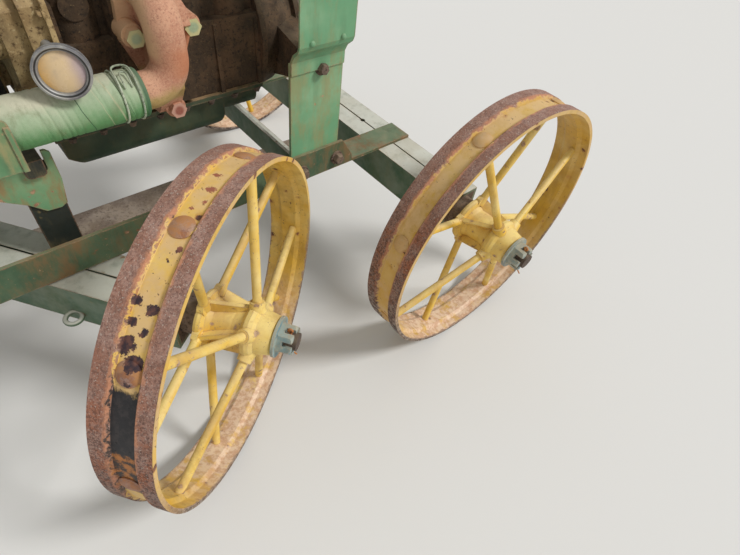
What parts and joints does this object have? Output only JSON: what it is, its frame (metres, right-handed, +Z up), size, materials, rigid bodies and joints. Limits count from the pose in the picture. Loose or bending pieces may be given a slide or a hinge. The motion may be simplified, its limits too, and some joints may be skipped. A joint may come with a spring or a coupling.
{
  "type": "portable farm engine on a four-wheel steel truck",
  "caption": "Farm engine with radiator, exposed block and fuel tank on an angle-iron truck with spoked steel wheels and a swivelling front axle.",
  "frame": {"origin": "on the ground under the middle of the overall box", "axes": "+X towards the fixed rear axle, +Y towards the exhaust side, away from the water hose, +Z up"},
  "size_m": [2.0856, 1.566, 1.263],
  "materials": {
    "wheel_yellow": "worn yellow paint over rust, bare rusty bands",
    "hub_yellow": "worn yellow paint",
    "frame_green": "faded green paint, rusted edges",
    "frame_dark": "dark green paint with grime",
    "bracket_green": "green paint, chipped",
    "panel_green": "faded green paint",
    "pan_green": "dark green with oil and dust",
    "forged_steel": "dull rusty steel",
    "bare_bar": "weathered flat bar",
    "nut_grey": "chalky blue-grey paint over steel",
    "engine_brown": "rusty brown casting",
    "engine_tan": "dusty tan casting",
    "cast_rust": "salmon rust on cast iron",
    "hose_green": "faded green cloth-wrapped hose",
    "clamp_wire": "dull wire clamps",
    "lamp_grey": "oxidised grey shell and rims",
    "lamp_glass": "clouded amber lens",
    "belt_black": "worn black belt",
    "core_dark": "dull black fins"
  },
  "bodies": {
    "root": {"rail_near": "frame_green", "rail_far": "frame_green", "bolster": "frame_dark", "king_pin": "forged_steel", "reach_bar": "bare_bar", "rear_cross_bar": "frame_dark", "rear_axle_beam": "frame_green", "rear_spindles": "forged_steel", "rear_axle_nuts": "nut_grey", "front_legs": "frame_dark", "front_brackets": "bracket_green", "front_mount_bar": "frame_dark", "rear_plates": "frame_green", "rear_panels": "panel_green", "cowl_top": "panel_green", "cylinder_block": "engine_brown", "oil_pan": "pan_green", "cylinder_head": "engine_brown", "valve_cover": "panel_green", "gear_case": "engine_tan", "bell_housing": "engine_brown", "power_takeoff": "forged_steel", "manifold": "cast_rust", "carburettor": "nut_grey", "exhaust_stack": "cast_rust", "magneto": "forged_steel", "water_elbow": "cast_rust", "lower_hose": "hose_green", "hose_clamps": "clamp_wire", "lamp_shell": "lamp_grey", "lamp_lens": "lamp_glass", "radiator_core": "core_dark", "radiator_tanks": "panel_green", "upper_hose": "hose_green", "fan": "frame_dark", "fan_belt": "belt_black", "fuel_tank": "panel_green"},
    "front_axle": {"front_axle_beam": "frame_green", "front_spindles": "forged_steel", "front_axle_nuts": "nut_grey", "front_rub_plate": "forged_steel", "tongue_clevis": "cast_rust"},
    "front_near_wheel": {"front_near_rim": "wheel_yellow", "front_near_hub": "hub_yellow"},
    "front_far_wheel": {"front_far_rim": "wheel_yellow", "front_far_hub": "hub_yellow"},
    "rear_near_wheel": {"rear_near_rim": "wheel_yellow", "rear_near_hub": "hub_yellow"},
    "rear_far_wheel": {"rear_far_rim": "wheel_yellow", "rear_far_hub": "hub_yellow"}
  },
  "joints": [
    {"name": "front_axle_swivel", "type": "hinge", "parent": "root", "child": "front_axle", "pos_m": [-0.35824, 0, 0.351], "axis": [0, 0, 1], "range_deg": [-70, 0]},
    {"name": "front_near_wheel_spin", "type": "hinge", "parent": "front_axle", "child": "front_near_wheel", "pos_m": [0.00541, -0.51934, 0.356], "axis": [0.5736, -0.8192, 0], "continuous": true},
    {"name": "front_far_wheel_spin", "type": "hinge", "parent": "front_axle", "child": "front_far_wheel", "pos_m": [-0.72189, 0.51934, 0.356], "axis": [-0.5736, 0.8192, 0], "continuous": true},
    {"name": "rear_near_wheel_spin", "type": "hinge", "parent": "root", "child": "rear_near_wheel", "pos_m": [0.68676, -0.634, 0.356], "axis": [0, -1, 0], "continuous": true},
    {"name": "rear_far_wheel_spin", "type": "hinge", "parent": "root", "child": "rear_far_wheel", "pos_m": [0.68676, 0.634, 0.356], "axis": [0, 1, 0], "continuous": true}
  ]
}
